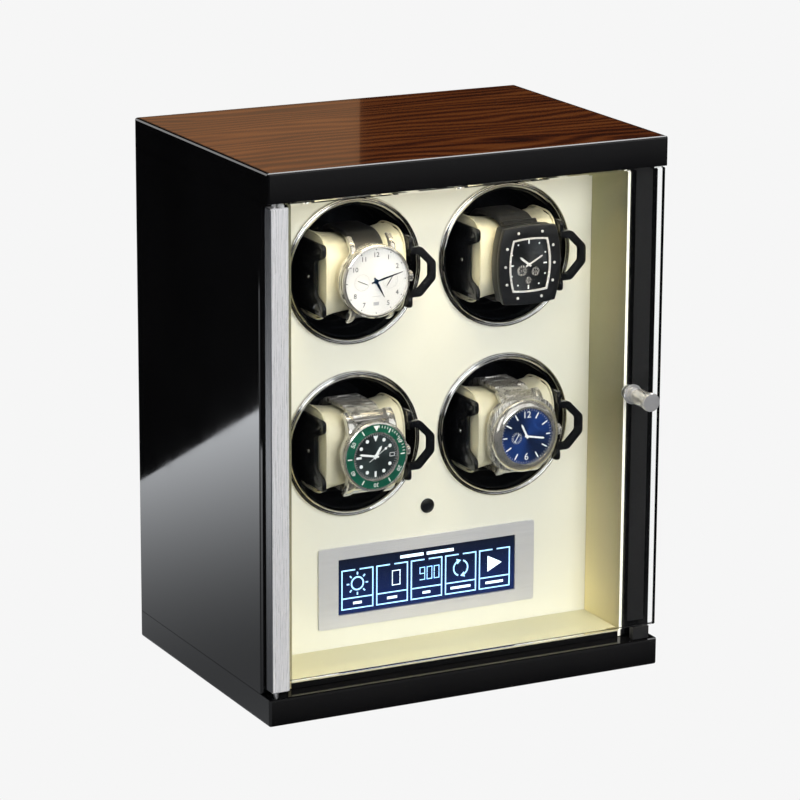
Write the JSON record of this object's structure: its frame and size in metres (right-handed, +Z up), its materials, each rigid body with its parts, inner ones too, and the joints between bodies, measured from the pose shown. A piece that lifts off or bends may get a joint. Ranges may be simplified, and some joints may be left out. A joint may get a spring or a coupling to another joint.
{
  "type": "watch winder box",
  "caption": "Free-standing gloss black watch winder cabinet with walnut top, hinged glass door, rotating cups with watch pillows, and a touch screen.",
  "frame": {"origin": "on the surface that the feet stand on, at the middle of the whole object's box in X and Y, knob included", "axes": "+Z up, -Y towards the viewer and the door, +X to the viewer's right"},
  "size_m": [0.248, 0.2, 0.3138],
  "materials": {
    "black_lacquer": "black piano lacquer on board, mirror gloss, rounded edges",
    "walnut": "figured walnut veneer under clear high-gloss lacquer, grain along X",
    "cream_leatherette": "fine-grained cream leatherette",
    "cream_leather": "soft cream leatherette pillow",
    "diffuser": "warm white light diffuser",
    "rubber": "matt black rubber",
    "felt": "black felt",
    "glass": "clear polished glass",
    "aluminium": "satin anodised",
    "steel": "bright turned",
    "motor_steel": "plated motor can",
    "chrome": "polished",
    "black_plastic": "fine matt",
    "gloss_black_plastic": "moulded, glossy",
    "nylon": "natural nylon",
    "circuit_board": "green solder mask",
    "screen": "dark touch-screen glass, light blue display",
    "watch_white": "polished steel case, white dial, black strap",
    "watch_black": "black case and strap",
    "watch_steel": "brushed and polished steel"
  },
  "bodies": {
    "cabinet": {"top_board": "black_lacquer", "base_board": "black_lacquer", "left_side_panel": "black_lacquer", "right_side_panel": "black_lacquer", "rear_panel": "black_lacquer", "floor_riser": "black_lacquer", "walnut_top_panel": "walnut", "front_panel": "cream_leatherette", "lining_left": "cream_leatherette", "lining_right": "cream_leatherette", "lining_floor": "cream_leatherette", "lining_ceiling": "cream_leatherette", "led_strip": "diffuser", "foot_front_left": "rubber", "foot_front_right": "rubber", "foot_rear_left": "rubber", "foot_rear_right": "rubber", "lcd_bezel": "aluminium", "upper_pivot_pin": "steel", "lower_pivot_pin": "steel", "door_rest_strip": "felt", "door_catch_magnet": "black_plastic", "remote_sensor": "black_plastic", "dc_jack": "black_plastic", "motor_board": "black_plastic", "lcd_screen": "screen", "control_board": "circuit_board", "trim_ring_upper_left": "chrome", "gear_motor_upper_left": "motor_steel", "trim_ring_upper_right": "chrome", "gear_motor_upper_right": "motor_steel", "trim_ring_lower_left": "chrome", "gear_motor_lower_left": "motor_steel", "trim_ring_lower_right": "chrome", "gear_motor_lower_right": "motor_steel"},
    "door": {"door_glass": "glass", "door_hinge_stile": "aluminium", "door_knob": "chrome", "knob_screw": "steel"},
    "rotor_upper_left": {"rotor_upper_left": "gloss_black_plastic"},
    "holder_upper_left": {"watch_holder_upper_left": "gloss_black_plastic", "pillow_upper_left": "cream_leather", "watch_upper_left": "watch_white"},
    "pinion_upper_left": {"motor_pinion_upper_left": "nylon"},
    "rotor_upper_right": {"rotor_upper_right": "gloss_black_plastic"},
    "holder_upper_right": {"watch_holder_upper_right": "gloss_black_plastic", "pillow_upper_right": "cream_leather", "watch_upper_right": "watch_black"},
    "pinion_upper_right": {"motor_pinion_upper_right": "nylon"},
    "rotor_lower_left": {"rotor_lower_left": "gloss_black_plastic"},
    "holder_lower_left": {"watch_holder_lower_left": "gloss_black_plastic", "pillow_lower_left": "cream_leather", "watch_lower_left": "watch_steel"},
    "pinion_lower_left": {"motor_pinion_lower_left": "nylon"},
    "rotor_lower_right": {"rotor_lower_right": "gloss_black_plastic"},
    "holder_lower_right": {"watch_holder_lower_right": "gloss_black_plastic", "pillow_lower_right": "cream_leather", "watch_lower_right": "watch_steel"},
    "pinion_lower_right": {"motor_pinion_lower_right": "nylon"}
  },
  "joints": [
    {"name": "door_hinge", "type": "hinge", "parent": "cabinet", "child": "door", "pos_m": [-0.118, -0.0755, 0.1568], "axis": [0, 0, -1], "range_deg": [0, 105]},
    {"name": "rotor_spin_upper_left", "type": "hinge", "parent": "cabinet", "child": "rotor_upper_left", "pos_m": [-0.048, -0.027, 0.2429], "axis": [0, -1, 0], "continuous": true},
    {"name": "pinion_spin_upper_left", "type": "hinge", "parent": "cabinet", "child": "pinion_upper_left", "pos_m": [-0.048, -0.027, 0.2144], "axis": [0, -1, 0], "continuous": true},
    {"name": "holder_pull_upper_left", "type": "slide", "parent": "rotor_upper_left", "child": "holder_upper_left", "axis": [0, -1, 0], "range_m": [0, 0.011]},
    {"name": "rotor_spin_upper_right", "type": "hinge", "parent": "cabinet", "child": "rotor_upper_right", "pos_m": [0.048, -0.027, 0.2429], "axis": [0, -1, 0], "continuous": true},
    {"name": "pinion_spin_upper_right", "type": "hinge", "parent": "cabinet", "child": "pinion_upper_right", "pos_m": [0.048, -0.027, 0.2144], "axis": [0, -1, 0], "continuous": true},
    {"name": "holder_pull_upper_right", "type": "slide", "parent": "rotor_upper_right", "child": "holder_upper_right", "axis": [0, -1, 0], "range_m": [0, 0.011]},
    {"name": "rotor_spin_lower_left", "type": "hinge", "parent": "cabinet", "child": "rotor_lower_left", "pos_m": [-0.048, -0.027, 0.1429], "axis": [0, -1, 0], "continuous": true},
    {"name": "pinion_spin_lower_left", "type": "hinge", "parent": "cabinet", "child": "pinion_lower_left", "pos_m": [-0.048, -0.027, 0.1144], "axis": [0, -1, 0], "continuous": true},
    {"name": "holder_pull_lower_left", "type": "slide", "parent": "rotor_lower_left", "child": "holder_lower_left", "axis": [0, -1, 0], "range_m": [0, 0.011]},
    {"name": "rotor_spin_lower_right", "type": "hinge", "parent": "cabinet", "child": "rotor_lower_right", "pos_m": [0.048, -0.027, 0.1429], "axis": [0, -1, 0], "continuous": true},
    {"name": "pinion_spin_lower_right", "type": "hinge", "parent": "cabinet", "child": "pinion_lower_right", "pos_m": [0.048, -0.027, 0.1144], "axis": [0, -1, 0], "continuous": true},
    {"name": "holder_pull_lower_right", "type": "slide", "parent": "rotor_lower_right", "child": "holder_lower_right", "axis": [0, -1, 0], "range_m": [0, 0.011]}
  ],
  "couplings": [
    {"joint": "pinion_spin_upper_left", "follows": "rotor_spin_upper_left", "ratio": -2.8},
    {"joint": "pinion_spin_upper_right", "follows": "rotor_spin_upper_right", "ratio": -2.8},
    {"joint": "pinion_spin_lower_left", "follows": "rotor_spin_lower_left", "ratio": -2.8},
    {"joint": "pinion_spin_lower_right", "follows": "rotor_spin_lower_right", "ratio": -2.8}
  ]
}
